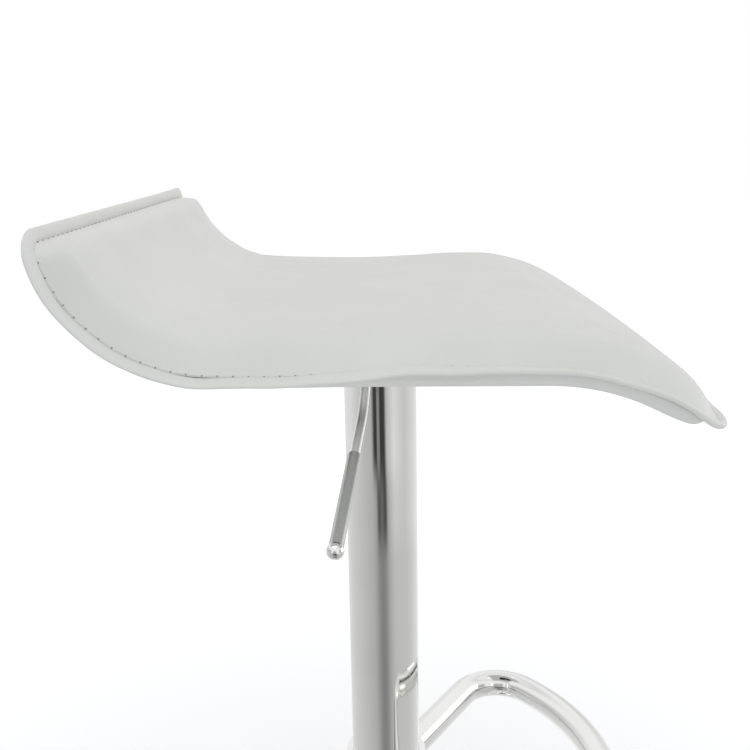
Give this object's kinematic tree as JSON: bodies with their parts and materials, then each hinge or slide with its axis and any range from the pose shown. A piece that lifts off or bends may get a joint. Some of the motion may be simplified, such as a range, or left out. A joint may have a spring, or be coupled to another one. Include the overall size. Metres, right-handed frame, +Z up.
{
  "type": "adjustable swivel stool",
  "caption": "Height-adjustable swivel bar stool with a wave-shaped upholstered seat, gas-lift column, release lever, footrest loop and trumpet base.",
  "frame": {"origin": "on the floor, on the column's axis, with the seat at its lowest setting", "axes": "+Z up along the column, +X towards the seat's waterfall front and the footrest, -Y towards the release lever"},
  "size_m": [0.385, 0.385, 0.6646],
  "materials": {
    "white_leather": "white faux leather, fine grain, satin",
    "chrome": "bright chrome plate",
    "zinc_steel": "zinc plate, satin",
    "black_enamel": "black powder coat",
    "black_rubber": "matt black rubber",
    "black_plastic": "black moulded plastic",
    "plywood": "moulded beech plywood, unlacquered",
    "foam": "cut polyurethane foam"
  },
  "bodies": {
    "base": {"column_tube": "chrome", "guide_bush": "black_plastic", "bearing_seat": "zinc_steel", "lower_race": "zinc_steel", "base_cover": "chrome", "base_socket": "zinc_steel", "ballast_plate": "black_enamel", "socket_screws": "zinc_steel", "floor_ring": "black_rubber", "column_collar": "chrome", "footrest_ring": "chrome", "footrest_collar": "chrome", "collar_screws": "zinc_steel"},
    "bearing_cage": {"ball_cage": "zinc_steel", "bearing_balls": "zinc_steel"},
    "swivel_rod": {"piston_rod": "zinc_steel", "piston": "zinc_steel", "piston_ring": "black_rubber", "rubber_buffer": "black_rubber", "upper_race": "zinc_steel", "rod_washer": "zinc_steel", "retaining_clip": "zinc_steel"},
    "seat": {"seat_core": "plywood", "foam_pad": "foam", "seat_cover": "white_leather", "bottom_cover": "white_leather", "edge_flange": "white_leather", "tee_nuts": "zinc_steel", "seat_bolts": "zinc_steel", "bolt_washers": "zinc_steel", "seat_plate": "black_enamel", "hub_socket": "zinc_steel", "lever_bracket": "zinc_steel", "lever_pin": "zinc_steel", "gas_cylinder": "chrome", "valve_body": "zinc_steel", "rod_guide": "black_plastic", "rod_seal": "black_rubber"},
    "lever": {"lever_rod": "chrome", "lever_grip": "chrome", "lever_knob": "chrome"},
    "valve_pin": {"release_pin": "zinc_steel"}
  },
  "joints": [
    {"name": "seat_swivel", "type": "hinge", "parent": "base", "child": "swivel_rod", "pos_m": [0, 0, 0.05], "axis": [0, 0, 1], "continuous": true},
    {"name": "cage_roll", "type": "hinge", "parent": "base", "child": "bearing_cage", "pos_m": [0, 0, 0.05], "axis": [0, 0, 1], "continuous": true},
    {"name": "seat_lift", "type": "slide", "parent": "swivel_rod", "child": "seat", "axis": [0, 0, 1], "range_m": [0, 0.21]},
    {"name": "lever_lift", "type": "hinge", "parent": "seat", "child": "lever", "pos_m": [-0.00392, -0.02974, 0.5773], "axis": [-0.9914, 0.1305, 0], "range_deg": [0, 5], "stiffness_Nm_per_rad": 5, "springref_deg": -5.73},
    {"name": "pin_press", "type": "slide", "parent": "seat", "child": "valve_pin", "axis": [0, 0, -1], "range_m": [0, 0.0032]}
  ],
  "couplings": [
    {"joint": "cage_roll", "follows": "seat_swivel", "ratio": 0.5},
    {"joint": "pin_press", "follows": "lever_lift", "m_per_rad": 0.031}
  ]
}
